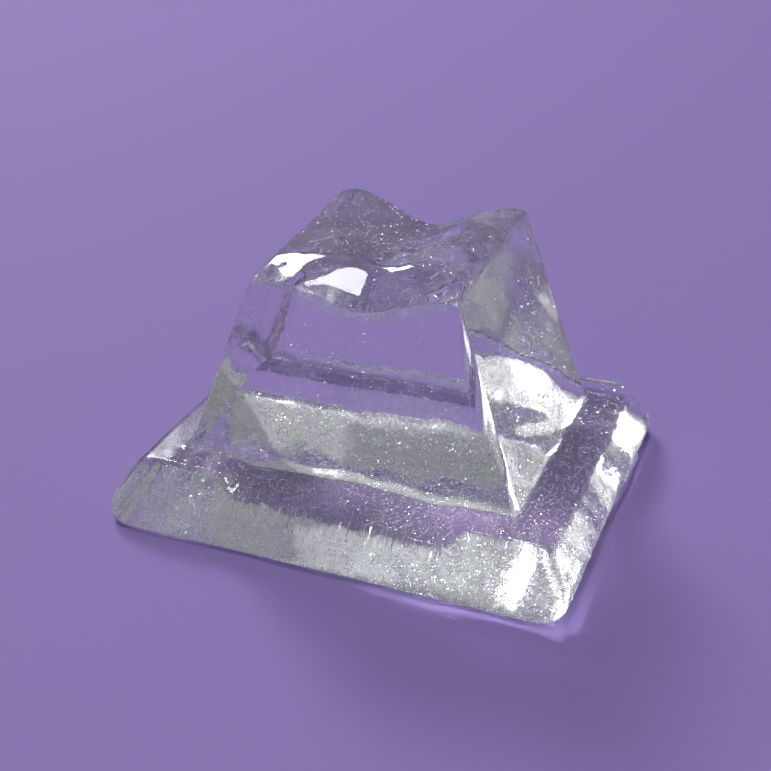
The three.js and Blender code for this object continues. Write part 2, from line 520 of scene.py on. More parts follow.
    def surface(self) -> tuple[np.ndarray, list[list[int]]]:
        """The closed surface, with the underside as its last face.

        Returns:
            The vertices in millimetres, and the faces as lists of vertex numbers.
        """
        rings = self.rings()
        count, around = rings.shape[:2]
        grid = self.top_grid(rings[-1])
        vertices = np.vstack([rings.reshape(-1, 3), grid[1:-1, 1:-1].reshape(-1, 3)])
        number = np.arange(around)
        following = (number + 1) % around
        faces = []
        for low in range(0, (count - 1) * around, around):
            high = low + around
            ring_faces = [low + number, low + following, high + following, high + number]
            faces += np.column_stack(ring_faces).tolist()
        faces += self.top_faces((count - 1) * around, around)
        faces.append(number[::-1].tolist())
        return vertices, faces

    def melt(self, mesh: bpy.types.Mesh) -> None:
        """Lifts the surface along its normals by the trains of swells, and leaves the underside flat.

        Args:
            mesh: the surface, which is changed.
        """
        points = points_of(mesh)
        normals = np.empty(points.size)
        mesh.vertex_normals.foreach_get("vector", normals)
        lift = sum(shape.at(points) for shape in (*self.waves, *self.dents, *self.ripples))
        lift = lift * smoothstep(points[:, 2], 0.0, self.calm_height)
        lifted = points + normals.reshape(-1, 3) * lift[:, None]
        mesh.vertices.foreach_set("co", (lifted * MM).ravel())
        mesh.update()

    def build(self, name: str) -> bpy.types.Object:
        """The block as an object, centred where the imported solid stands.

        Args:
            name: the piece's name.

        Returns:
            The piece, with smooth faces and no material yet.
        """
        vertices, faces = self.surface()
        vertices[:, :2] -= (vertices[:, :2].min(axis=0) + vertices[:, :2].max(axis=0)) / 2
        mesh = bpy.data.meshes.new(name)
        mesh.from_pydata((vertices * MM).tolist(), [], faces)
        mesh.update()
        self.melt(mesh)
        mesh.polygons.foreach_set("use_smooth", [True] * len(mesh.polygons))
        mesh.polygons[-1].use_smooth = False
        return link_object(name, mesh)


# Places on the block

@dataclass(frozen=True)
class Cloud:
    """A soft place on the block with a share of flecks, scratches or frost, in millimetres."""

    middle: Triple
    spread: Triple
    amount: float

    def at(self, points: np.ndarray) -> np.ndarray:
        """The cloud's share at each point."""
        return self.amount * blob(points, self.middle, self.spread)


class Spot(Enum):
    """Places on the block, each with its middle and its reach along the axes, in millimetres."""

    LEFT_BEVEL = ((-42.0, -50.0, 7.0), (26.0, 7.0, 8.0))
    LEFT_BEVEL_FACE = ((-44.0, -50.0, 8.0), (22.0, 6.0, 9.0))
    MIDDLE_BEVEL = ((-12.0, -51.0, 6.0), (22.0, 5.0, 5.0))
    MIDDLE_BEVEL_FLECKS = ((-14.0, -51.0, 5.0), (18.0, 5.0, 5.0))
    MIDDLE_BEVEL_FOOT = ((-16.0, -51.0, 5.0), (14.0, 5.0, 5.0))
    FRONT_BEVEL = ((10.0, -50.0, 8.0), (36.0, 5.0, 8.0))
    RIGHT_CORNER = ((52.0, -48.0, 8.0), (12.0, 9.0, 8.0))
    RIGHT_BEVEL = ((58.0, -5.0, 8.0), (8.0, 40.0, 8.0))
    RIGHT_BEVEL_BACK = ((58.0, 34.0, 9.0), (8.0, 18.0, 9.0))
    BACK_BRIM = ((-4.0, 51.5, 2.5), (34.0, 4.0, 5.0))
    BACK_SOLE_EDGE = ((-4.0, 51.0, 2.0), (28.0, 2.5, 3.5))
    LEFT_LEDGE = ((-51.0, -22.0, 16.4), (8.0, 30.0, 4.0))
    FRONT_LEDGE = ((20.0, -38.0, 15.0), (24.0, 8.0, 3.0))
    WIDE_FRONT_LEDGE = ((20.0, -40.0, 15.0), (26.0, 8.0, 4.0))
    RIGHT_LEDGE = ((50.0, -8.0, 16.0), (8.0, 30.0, 3.0))
    RIGHT_LEDGE_MIDDLE = ((50.0, -6.0, 16.0), (8.0, 30.0, 3.0))
    RUBBED_STRIP = ((-12.8, -32.0, 36.0), (6.0, 4.0, 12.0))
    RUBBED_STRIP_MIDDLE = ((-13.0, -32.5, 32.0), (2.6, 5.0, 10.0))
    RUBBED_STRIP_FOOT = ((-9.0, -32.5, 24.0), (5.0, 5.0, 5.0))
    FRONT_RIGHT = ((19.7, -32.0, 41.0), (15.0, 5.0, 10.0))
    WIDE_FRONT_RIGHT = ((20.0, -32.0, 44.0), (20.0, 5.0, 16.0))
    FRONT_RIGHT_MIDDLE = ((20.0, -32.0, 42.0), (14.0, 5.0, 12.0))
    UPPER_FRONT = ((-3.0, -32.0, 50.0), (14.0, 5.0, 10.0))
    LOWER_FRONT = ((10.0, -32.0, 24.0), (40.0, 5.0, 6.0))
    CROWN_CORNER = ((22.0, -32.0, 62.0), (4.0, 4.0, 6.0))
    RIGHT_FACE = ((36.0, 5.0, 40.0), (8.0, 26.0, 18.0))
    TOP = ((0.0, 0.0, 66.0), (24.0, 28.0, 6.0))
    TOP_MIDDLE = ((0.0, 4.0, 65.0), (22.0, 22.0, 5.0))
    TOP_FRONT_RIGHT = ((18.0, -14.0, 66.0), (8.0, 8.0, 4.0))
    STREAK = ((13.0, 2.0, 65.5), (5.0, 14.0, 4.0))
    STREAK_BACK_HALF = ((14.8, 5.5, 67.0), (2.2, 6.5, 5.0))
    STREAK_FRONT_HALF = ((11.6, -6.5, 67.0), (2.6, 6.5, 5.0))

    def cloud(self, amount: float) -> Cloud:
        """A cloud of this place's size."""
        return Cloud(*self.value, amount)


# Finishes

class Operation(Enum):
    """What a Math node does with its values."""

    PLUS = "ADD"
    MINUS = "SUBTRACT"
    TIMES = "MULTIPLY"
    TIMES_PLUS = "MULTIPLY_ADD"
    POWER = "POWER"
    SINE = "SINE"


@dataclass(frozen=True)
class Grain:
    """How a noise looks: its cells per metre, its octaves, and what draws it out.

    The stretch is a factor on each axis, so a small one draws the cells out. The turn before it is about the
    upright axis, in radians.
    """

    scale: float
    detail: float
    stretch: Triple = (1.0, 1.0, 1.0)
    turn: float = 0.0


class NodeMaker:
    """Adds nodes to a tree, each fed with sockets or plain values."""

    def __init__(self, tree: bpy.types.NodeTree) -> None:
        """Starts on a tree."""
        self.tree = tree

    def feed(self, socket: Socket, value: Value) -> None:
        """Links a socket to another one, or sets it to a plain value.

        Args:
            socket: the input.
            value: what it gets.
        """
        if isinstance(value, Socket):
            self.tree.links.new(value, socket)
        else:
            socket.default_value = value

    def node(self, kind: str, settings: dict[str, str] | None = None, **inputs: Value) -> bpy.types.Node:
        """Adds a node.

        Args:
            kind: the node's type name.
            settings: the node's own properties, such as its operation.
            **inputs: what each input gets, with spaces written as underscores.

        Returns:
            The node.
        """
        made = self.tree.nodes.new(kind)
        for name, setting in (settings or {}).items():
            setattr(made, name, setting)
        for name, value in inputs.items():
            self.feed(made.inputs[name.replace("_", " ")], value)
        return made

    def math(self, operation: Operation, *values: Value) -> Socket:
        """Adds a Math node.

        Args:
            operation: what it does.
            *values: the values it works on, in order.

        Returns:
            The result.
        """
        made = self.node("ShaderNodeMath", {"operation": operation.value})
        for socket, value in zip(made.inputs, values):
            self.feed(socket, value)
        return made.outputs[0]


class MaterialMaker(NodeMaker):
    """A node material in the making, with a Principled shader that reads the object's own coordinates."""

    def __init__(self, name: str, **looks: Value) -> None:
        """Starts a material.

        Args:
            name: the material's name.
            **looks: what the shader's inputs get, with spaces written as underscores.
        """
        self.material = bpy.data.materials.new(name)
        self.material.use_nodes = True
        super().__init__(self.material.node_tree)
        self.tree.nodes.clear()
        self.output = self.node("ShaderNodeOutputMaterial")
        self.shader = self.node("ShaderNodeBsdfPrincipled", **looks)
        self.feed(self.output.inputs["Surface"], self.shader.outputs["BSDF"])

    def place(self) -> Socket:
        """The object's own coordinates."""
        return self.node("ShaderNodeTexCoord").outputs["Object"]

    def ramp(self, value: Socket, between: Pair, to: Pair) -> Socket:
        """Maps a range of values smoothly to another one.

        Args:
            value: the socket to map.
            between: the values where the ramp starts and ends.
            to: the results there and beyond.

        Returns:
            The result.
        """
        made = self.node(
            "ShaderNodeMapRange", {"interpolation_type": "SMOOTHSTEP"},
            Value=value, From_Min=between[0], From_Max=between[1], To_Min=to[0], To_Max=to[1],
        )
        return made.outputs["Result"]

    def patch(self, place: Socket, cloud: Cloud, edge: Pair = (0.35, 1.0)) -> Socket:
        """A soft patch round a place of the object.

        Args:
            place: the coordinates.
            cloud: where the patch lies, and its share there.
            edge: where it starts to fade and where it ends, as shares of its spread.

        Returns:
            The share, the cloud's in the middle and zero outside.
        """
        mapping = self.node(
            "ShaderNodeMapping",
            Vector=place,
            Location=tuple(-middle / spread for middle, spread in zip(cloud.middle, cloud.spread)),
            Scale=tuple(1.0 / (spread * MM) for spread in cloud.spread),
        )
        length = self.node("ShaderNodeVectorMath", {"operation": "LENGTH"}, Vector=mapping.outputs["Vector"])
        return self.math(Operation.TIMES, self.ramp(length.outputs["Value"], edge, (1.0, 0.0)), cloud.amount)

    def noise(self, place: Socket, grain: Grain) -> Socket:
        """Noise on the object's own coordinates.

        Args:
            place: the coordinates.
            grain: how the noise looks.

        Returns:
            The noise, between 0 and 1.
        """
        turn = (0.0, 0.0, grain.turn)
        drawn_out = self.node("ShaderNodeMapping", Vector=place, Rotation=turn, Scale=grain.stretch)
        made = self.node(
            "ShaderNodeTexNoise", Vector=drawn_out.outputs["Vector"], Scale=grain.scale, Detail=grain.detail
        )
        return made.outputs["Fac"]

    def roughen(self, grain: Grain, roughness: Pair, between: Pair = (0.3, 0.7)) -> None:
        """Gives the shader a roughness between two values, which changes from grain to grain."""
        rough = self.ramp(self.noise(self.place(), grain), between, roughness)
        self.feed(self.shader.inputs["Roughness"], rough)


@dataclass(frozen=True)
class ClearIce:
    """Wet clear ice: glassy above, lightly frosted and rubbed on the face it stands on.

    A roughness pair is reached where the noise has the values of the pair named between. Heights and places
    are in millimetres.
    """

    name: str = "clear_ice"
    absorbed_colour: Colour = (0.985, 0.985, 0.93, 1.0)
    absorption: float = 1.2
    sole_roughness: Pair = (0.06, 0.14)
    sole_between: Pair = (0.35, 0.65)
    sole_height: float = 0.4
    wet_roughness: Pair = (0.03, 0.08)
    wet_between: Pair = (0.45, 0.75)
    wet_grain: Grain = Grain(60.0, 3.0)
    rubbed_roughness: float = 0.05
    rubbed_between: Pair = (0.66, 0.74)
    rubbed_grain: Grain = Grain(420.0, 3.0, (1.0, 0.06, 1.0), 0.5)
    back_roughness: float = 0.10
    back_from: float = 22.0
    back_to: float = 31.0
    frost_grain: Grain = Grain(2600.0, 2.0)
    patch_between: Pair = (0.3, 0.6)
    patch_share: Pair = (0.6, 1.0)
    ripple_grain: Grain = Grain(130.0, 2.0)
    ripple_depth: float = 0.35
    ripple_strength: float = 0.5
    pit_grain: Grain = Grain(1700.0, 2.0)
    pit_share: float = 0.08
    frosted: tuple[Cloud, ...] = (
        Spot.LEFT_BEVEL.cloud(0.26),
        Spot.MIDDLE_BEVEL.cloud(0.20),
        Spot.RUBBED_STRIP.cloud(0.10),
        Spot.RIGHT_BEVEL_BACK.cloud(0.12),
        Spot.STREAK.cloud(0.14),
        Spot.LEFT_LEDGE.cloud(0.30),
        Spot.BACK_BRIM.cloud(0.35),
    )

    def roughness(self, maker: MaterialMaker, place: Socket, on_sole: Socket) -> Socket:
        """How rough the ice is: its haze, rubbed streaks and frosted patches, and its sole.

        Args:
            maker: the material in the making.
            place: the coordinates.
            on_sole: one on the underside and zero above it.

        Returns:
            The roughness.
        """
        grain = maker.noise(place, self.frost_grain)
        haze = maker.noise(place, self.wet_grain)
        streaks = maker.noise(place, self.rubbed_grain)
        backward = maker.node("ShaderNodeSeparateXYZ", Vector=place).outputs["Y"]
        back = (self.back_from * MM, self.back_to * MM)
        wet = maker.ramp(haze, self.wet_between, self.wet_roughness)
        marks = [
            maker.ramp(streaks, self.rubbed_between, (0.0, self.rubbed_roughness)),
            maker.ramp(backward, back, (0.0, self.back_roughness)),
        ]
        for cloud in self.frosted:
            uneven = maker.ramp(grain, self.patch_between, self.patch_share)
            marks.append(maker.math(Operation.TIMES, maker.patch(place, cloud), uneven))
        for mark in marks:
            wet = maker.math(Operation.PLUS, wet, mark)
        sole = maker.ramp(grain, self.sole_between, self.sole_roughness)
        return maker.node("ShaderNodeMix", Factor=on_sole, A=wet, B=sole).outputs["Result"]

    def make(self) -> bpy.types.Material:
        """Builds the material.

        Returns:
            The material, with its roughness and bump from the object's coordinates.
        """
        maker = MaterialMaker(
            self.name, Base_Color=(1.0, 1.0, 1.0, 1.0), Transmission_Weight=1.0, IOR=ICE_BENDS_LIGHT
        )
        inside = maker.node("ShaderNodeVolumeAbsorption", Color=self.absorbed_colour, Density=self.absorption)
        maker.feed(maker.output.inputs["Volume"], inside.outputs["Volume"])
        place = maker.place()
        height = maker.node("ShaderNodeSeparateXYZ", Vector=place).outputs["Z"]
        on_sole = maker.ramp(height, (0.0, self.sole_height * MM), (1.0, 0.0))
        maker.feed(maker.shader.inputs["Roughness"], self.roughness(maker, place, on_sole))

        pits = maker.math(Operation.TIMES, maker.noise(place, self.pit_grain), on_sole)
        pits = maker.math(Operation.TIMES, pits, self.pit_share)
        relief = maker.math(Operation.PLUS, maker.noise(place, self.ripple_grain), pits)
        bump = maker.node(
            "ShaderNodeBump", Height=relief, Strength=self.ripple_strength, Distance=self.ripple_depth * MM
        )
        maker.feed(maker.shader.inputs["Normal"], bump.outputs["Normal"])
        return maker.material


@dataclass(frozen=True)
class WhiteFrost:
    """Crushed ice and air in flecks and scratches, which scatters light and looks white."""

    name: str
    colour: Colour = (0.93, 0.96, 0.98, 1.0)
    roughness: Pair = (0.25, 0.55)
    translucency: float = 0.5
    grain: Grain = Grain(1500.0, 1.0)

    def make(self) -> bpy.types.Material:
        """Builds the material.

        Returns:
            The material, with its roughness from the object's coordinates.
        """
        maker = MaterialMaker(
            self.name, Base_Color=self.colour, Transmission_Weight=self.translucency, IOR=ICE_BENDS_LIGHT
        )
        maker.roughen(self.grain, self.roughness)
        return maker.material


@dataclass(frozen=True)
class AirGap:
    """The air in a tiny crack, which throws light back like a mirror wherever the crack happens to face."""

    name: str = "air_gap"
    colour: Colour = (0.94, 0.97, 0.98, 1.0)
    roughness: Pair = (0.08, 0.26)
    grain: Grain = Grain(900.0, 1.0)

    def make(self) -> bpy.types.Material:
        """Builds the material.

        Returns:
            The material, with its roughness from the object's coordinates.
        """
        maker = MaterialMaker(self.name, Base_Color=self.colour, Metallic=1.0)
        maker.roughen(self.grain, self.roughness)
        return maker.material


# Geometry node trees

class Draw(Enum):
    """What a random draw is for, which keeps it apart from a tree's other draws."""

    SIZE = 1
    TURN = 2
    SINK = 3


class TreeMaker(NodeMaker):
    """A geometry node tree in the making, with an input for each named value."""

    def __init__(self, name: str, values: dict[str, float]) -> None:
        """Starts a tree.

        Args:
            name: the tree's name.
            values: what each named input gets. A whole number makes it an integer input.
        """
        super().__init__(bpy.data.node_groups.new(name, "GeometryNodeTree"))
        self.values = values
        self.identifiers: dict[str, str] = {}
        self.add_input("Geometry", "NodeSocketGeometry")
        for label, value in values.items():
            self.add_input(label, "NodeSocketInt" if isinstance(value, int) else "NodeSocketFloat")
        self.tree.interface.new_socket("Geometry", in_out="OUTPUT", socket_type="NodeSocketGeometry")
        self.given = self.node("NodeGroupInput").outputs
        self.surface = self.given["Geometry"]
        self.end = self.node("NodeGroupOutput")

    def add_input(self, label: str, kind: str) -> None:
        """Adds a named input of a socket type, and keeps its identifier."""
        made = self.tree.interface.new_socket(label, in_out="INPUT", socket_type=kind)
        self.identifiers[label] = made.identifier

    def random(self, low: Value, high: Value, draw: Draw, vector: bool = False) -> Socket:
        """Draws a number, or three, for each point.

        Args:
            low: least value.
            high: greatest value.
            draw: what the number is for.
            vector: whether three numbers are drawn.

        Returns:
            The drawn value.
        """
        made = self.node("FunctionNodeRandomValue", {"data_type": "FLOAT_VECTOR" if vector else "FLOAT"})
        # The node has sockets of their own for three numbers and for one.
        least, most, drawn = (0, 1, 0) if vector else (2, 3, 1)
        self.feed(made.inputs[least], low)
        self.feed(made.inputs[most], high)
        self.feed(made.inputs["ID"], self.node("GeometryNodeInputIndex").outputs[0])
        self.feed(made.inputs["Seed"], self.math(Operation.PLUS, self.given["Seed"], float(draw.value)))
        return made.outputs[drawn]

    def size(self, least: str, most: str, rarity: float) -> Socket:
        """Draws a size for each point.

        Args:
            least: the label of the smallest size's input.
            most: the label of the largest size's input.
            rarity: how rare the large ones are, as the power of an even draw.

        Returns:
            The drawn size.
        """
        draw = self.math(Operation.POWER, self.random(0.0, 1.0, Draw.SIZE), rarity)
        step = self.math(Operation.MINUS, self.given[most], self.given[least])
        return self.math(Operation.TIMES_PLUS, draw, step, self.given[least])

    def scatter(self) -> bpy.types.Node:
        """Scatters points over the surface, as many as the density and the cover there say.

        Returns:
            The node that gives the points, their normals and their rotations.
        """
        cover = self.node("GeometryNodeInputNamedAttribute", {"data_type": "FLOAT"}, Name=COVER)
        density = self.math(Operation.TIMES, cover.outputs["Attribute"], self.given["Per square metre"])
        return self.node(
            "GeometryNodeDistributePointsOnFaces",
            Mesh=self.surface, Density=density, Seed=self.given["Seed"],
        )

    def moved(self, geometry: Socket, direction: Socket, distance: Value) -> Socket:
        """Moves points along a direction, which the distance multiplies."""
        offset = self.node("ShaderNodeVectorMath", {"operation": "SCALE"}, Vector=direction, Scale=distance)
        return self.node("GeometryNodeSetPosition", Geometry=geometry, Offset=offset.outputs[0]).outputs[0]

    def finish(self, geometry: Socket, material: bpy.types.Material) -> None:
        """Ends the tree: instances become mesh, and the mesh gets its material.

        Args:
            geometry: what the tree has made.
            material: the material.
        """
        real = self.node("GeometryNodeRealizeInstances", Geometry=geometry)
        painted = self.node("GeometryNodeSetMaterial", Geometry=real.outputs[0], Material=material)
        self.feed(self.end.inputs[0], painted.outputs[0])

    def grow(self, name: str, host: bpy.types.Object) -> bpy.types.Object:
        """Runs the tree on a host and keeps the result as a plain mesh.

        Args:
            name: the new piece's name.
            host: the object whose mesh the tree starts from, which is left as it was.

        Returns:
            The new piece.
        """
        modifier = host.modifiers.new(name, "NODES")
        modifier.node_group = self.tree
        for label, value in self.values.items():
            modifier[self.identifiers[label]] = value
        host.update_tag()
        bpy.context.view_layer.update()
        evaluated = host.evaluated_get(bpy.context.evaluated_depsgraph_get())
        mesh = bpy.data.meshes.new_from_object(evaluated)
        host.modifiers.remove(modifier)
        mesh.name = name
        for attribute in [a for a in mesh.attributes if a.name == COVER]:
            mesh.attributes.remove(attribute)
        return link_object(name, mesh)


# Frost, scratches and air

@dataclass(frozen=True)
class Cover:
    """Where on the block's surface a layer lies: its clouds, its share elsewhere, and its heights in mm."""

    clouds: tuple[Cloud, ...] = ()
    base: float = 1.0
    low: float = -1.0
    high: float = 100.0

    def host(self, block: bpy.types.Object) -> bpy.types.Object:
        """A copy of the block's surface with the layer's share on each point.

        Args:
            block: the block.

        Returns:
            The copy, to be removed after use.
        """
        host = link_object("host", block.data.copy())
        points = points_of(host.data)
        share = self.base + sum((cloud.at(points) for cloud in self.clouds), np.zeros(len(points)))
        share[(points[:, 2] < self.low) | (points[:, 2] > self.high)] = 0.0
        attribute = host.data.attributes.new(COVER, "FLOAT", "POINT")
        attribute.data.foreach_set("value", share.astype(np.float32))
        return host


@dataclass(frozen=True)
class Layer:
    """Something scattered over the block's surface. Its kinds give the tree."""

    name: str
    seed: int
    per_square_cm: float
    cover: Cover

    def tree(self, material: bpy.types.Material) -> TreeMaker:
        """The tree that scatters the layer, which each kind of layer makes in its own way."""
        raise NotImplementedError

    def build(self, block: bpy.types.Object, material: bpy.types.Material) -> bpy.types.Object:
        """Scatters the layer over the block.

        Args:
            block: the block.
            material: what the layer is made of.

        Returns:
            The layer as one mesh.
        """
        host = self.cover.host(block)
        made = self.tree(material).grow(self.name, host)
        copied = host.data
        bpy.data.objects.remove(host)
        bpy.data.meshes.remove(copied)
        return made


@dataclass(frozen=True)
class Flecks(Layer):
    """Tiny angular flecks just under the ice's surface, each a cone of three sides, in millimetres."""

    smallest: float
    largest: float
    depth: float
    thickness: float = 1.3
    tilt: float = math.pi
    sides: int = 3
    rarity: float = 3.0
    least_sink: float = 0.5

    def tree(self, material: bpy.types.Material) -> TreeMaker:
        """The tree that scatters the flecks.

        Args:
            material: what they are made of.

        Returns:
            The tree, ready to grow.
        """
        maker = TreeMaker(
            self.name,
            {
                "Per square metre": self.per_square_cm * SQUARE_CM_PER_METRE,
                "Smallest radius": self.smallest * MM,
                "Largest radius": self.largest * MM,
                "Depth": self.depth * MM,
                "Thickness": self.thickness,
                "Tilt": self.tilt,
                "Seed": self.seed,
            },
        )
        tilt = maker.given["Tilt"]
        spread = maker.scatter()
        downward = maker.math(Operation.TIMES, maker.given["Depth"], -1.0)
        sink = maker.math(Operation.TIMES, maker.random(self.least_sink, 1.0, Draw.SINK), downward)
        points = maker.moved(spread.outputs["Points"], spread.outputs["Normal"], sink)
        fleck = maker.node(
            "GeometryNodeMeshCone",
            Vertices=self.sides, Radius_Top=0.0, Radius_Bottom=1.0, Depth=maker.given["Thickness"],
        )
        least = maker.node(
            "ShaderNodeCombineXYZ",
            X=maker.math(Operation.MINUS, math.pi, tilt),
            Y=maker.math(Operation.TIMES, tilt, -1.0),
        )
        most = maker.node(
            "ShaderNodeCombineXYZ", X=maker.math(Operation.PLUS, math.pi, tilt), Y=tilt, Z=math.tau
        )
        scattered = maker.node(
            "GeometryNodeInstanceOnPoints",
            Points=points,
            Instance=fleck.outputs["Mesh"],
            Rotation=maker.random(least.outputs[0], most.outputs[0], Draw.TURN, vector=True),
            Scale=maker.size("Smallest radius", "Largest radius", self.rarity),
        )
        maker.finish(scattered.outputs[0], material)
        return maker


@dataclass(frozen=True)
class Scratches(Layer):
    """Fine bent scratches that follow the ice's surface, in millimetres."""

    shortest: float
    longest: float
    radius: float
    bend: float
    depth: float = 0.0
    points_along: int = 8
    sides: int = 3
    rarity: float = 2.5
    bends_per_metre: float = 90.0
    thin_end: float = 0.2

    def lines(self, maker: TreeMaker) -> Socket:
        """Lays straight lines on the surface, each turned its own way.

        Args:
            maker: the tree in the making.

        Returns:
            The lines as curves.
        """
        spread = maker.scatter()
        line = maker.node("GeometryNodeCurvePrimitiveLine", Start=(-0.5, 0.0, 0.0), End=(0.5, 0.0, 0.0))
        fine = maker.node("GeometryNodeResampleCurve", Curve=line.outputs[0], Count=self.points_along)
        spin = maker.random((0.0, 0.0, 0.0), (0.0, 0.0, math.tau), Draw.TURN, vector=True)
        turn = maker.node(
            "FunctionNodeRotateRotation", {"rotation_space": "LOCAL"},
            Rotation=spread.outputs["Rotation"],
            Rotate_By=maker.node("FunctionNodeEulerToRotation", Euler=spin).outputs[0],
        )
        laid = maker.node(
            "GeometryNodeInstanceOnPoints",
            Points=spread.outputs["Points"],
            Instance=fine.outputs[0],
            Rotation=turn.outputs[0],
            Scale=maker.size("Shortest length", "Longest length", self.rarity),
        )
        return maker.node("GeometryNodeRealizeInstances", Geometry=laid.outputs[0]).outputs[0]

    def bent(self, maker: TreeMaker, lines: Socket) -> Socket:
        """Bends the lines and brings them back to their depth under the surface.

        Args:
            maker: the tree in the making.
            lines: the straight lines.

        Returns:
            The bent lines.
        """
        here = maker.node("GeometryNodeInputPosition").outputs[0]
        wander = maker.node("ShaderNodeTexNoise", Vector=here, Scale=self.bends_per_metre, Detail=1.0)
        centred = maker.node("ShaderNodeVectorMath", {"operation": "SUBTRACT"})
        maker.feed(centred.inputs[0], wander.outputs["Color"])
        maker.feed(centred.inputs[1], NOISE_MIDDLE)
        pushed = maker.moved(lines, centred.outputs[0], maker.given["Bend"])
        nearest = maker.node("GeometryNodeProximity", {"target_element": "FACES"}, Geometry=maker.surface)
        on_face = maker.node("GeometryNodeSetPosition", Geometry=pushed, Position=nearest.outputs["Position"])
        facing = maker.node(
            "GeometryNodeSampleNearestSurface", {"data_type": "FLOAT_VECTOR"},
            Mesh=maker.surface, Value=maker.node("GeometryNodeInputNormal").outputs[0],
        )
        downward = maker.math(Operation.TIMES, maker.given["Depth"], -1.0)
        return maker.moved(on_face.outputs[0], facing.outputs["Value"], downward)

    def tree(self, material: bpy.types.Material) -> TreeMaker:
        """The tree that lays the scratches.

        Args:
            material: what they are filled with.

        Returns:
            The tree, ready to grow.
        """
        maker = TreeMaker(
            self.name,
            {
                "Per square metre": self.per_square_cm * SQUARE_CM_PER_METRE,
                "Shortest length": self.shortest * MM,
                "Longest length": self.longest * MM,
                "Radius": self.radius * MM,
                "Bend": self.bend * MM,
                "Depth": self.depth * MM,
                "Seed": self.seed,
            },
        )
        curves = self.bent(maker, self.lines(maker))
        along = maker.node("GeometryNodeSplineParameter").outputs["Factor"]
        swell = maker.math(Operation.SINE, maker.math(Operation.TIMES, along, math.pi))
        taper = maker.math(Operation.TIMES_PLUS, swell, 1.0 - self.thin_end, self.thin_end)
        thick = maker.math(Operation.TIMES, maker.given["Radius"], taper)
        sized = maker.node("GeometryNodeSetCurveRadius", Curve=curves, Radius=thick)
        ring = maker.node("GeometryNodeCurvePrimitiveCircle", Resolution=self.sides, Radius=1.0)
        solid = maker.node(
            "GeometryNodeCurveToMesh",
            Curve=sized.outputs[0], Profile_Curve=ring.outputs[0], Fill_Caps=True,
        )
        if "Scale" in solid.inputs:
            maker.feed(solid.inputs["Scale"], maker.node("GeometryNodeInputRadius").outputs[0])
        maker.finish(solid.outputs[0], material)
        return maker


@dataclass(frozen=True)
class AirBubbles:
    """Round bubbles of air sealed inside the block, in millimetres."""

    name: str = "air_bubbles"
    seed: int = 17
    per_cubic_cm: float = 3.0
    smallest: float = 0.07
    largest: float = 0.32
    clearance: float = 1.2
    rarity: float = 4.0
    fineness: int = 2
    voxel: float = 2.0
    deepest: float = 100.0

    def tree(self, material: bpy.types.Material) -> TreeMaker:
        """The tree that fills the block with bubbles.

        Args:
            material: what their walls look like.

        Returns:
            The tree, ready to grow.
        """
        maker = TreeMaker(
            self.name,
            {
                "Per cubic metre": self.per_cubic_cm * CUBIC_CM_PER_METRE,
                "Smallest radius": self.smallest * MM,
                "Largest radius": self.largest * MM,
                "Clearance": self.clearance * MM,
                "Seed": self.seed,
            },
        )
        filled = maker.node("GeometryNodeMeshToVolume", {"resolution_mode": "VOXEL_SIZE"}, Mesh=maker.surface)
        maker.feed(filled.inputs["Voxel Size"], self.voxel * MM)
        maker.feed(filled.inputs["Interior Band Width"], self.deepest * MM)
        spread = maker.node(
            "GeometryNodeDistributePointsInVolume",
            Volume=filled.outputs[0], Density=maker.given["Per cubic metre"], Seed=maker.given["Seed"],
        )
        nearest = maker.node("GeometryNodeProximity", Geometry=maker.surface)
        close = maker.node("FunctionNodeCompare", {"data_type": "FLOAT", "operation": "LESS_THAN"})
        maker.feed(close.inputs[0], nearest.outputs["Distance"])
        maker.feed(close.inputs[1], maker.given["Clearance"])
        kept = maker.node(
            "GeometryNodeDeleteGeometry", Geometry=spread.outputs[0], Selection=close.outputs[0]
        )
        bubble = maker.node("GeometryNodeMeshIcoSphere", Radius=1.0, Subdivisions=self.fineness)
        smooth = maker.node("GeometryNodeSetShadeSmooth", Geometry=bubble.outputs[0])
        blown = maker.node(
            "GeometryNodeInstanceOnPoints",
            Points=kept.outputs[0],
            Instance=smooth.outputs[0],
            Scale=maker.size("Smallest radius", "Largest radius", self.rarity),
        )
        maker.finish(blown.outputs[0], material)
        return maker

    def build(self, block: bpy.types.Object, material: bpy.types.Material) -> bpy.types.Object:
        """The bubbles inside the block, as one mesh of the material."""
        return self.tree(material).grow(self.name, block)


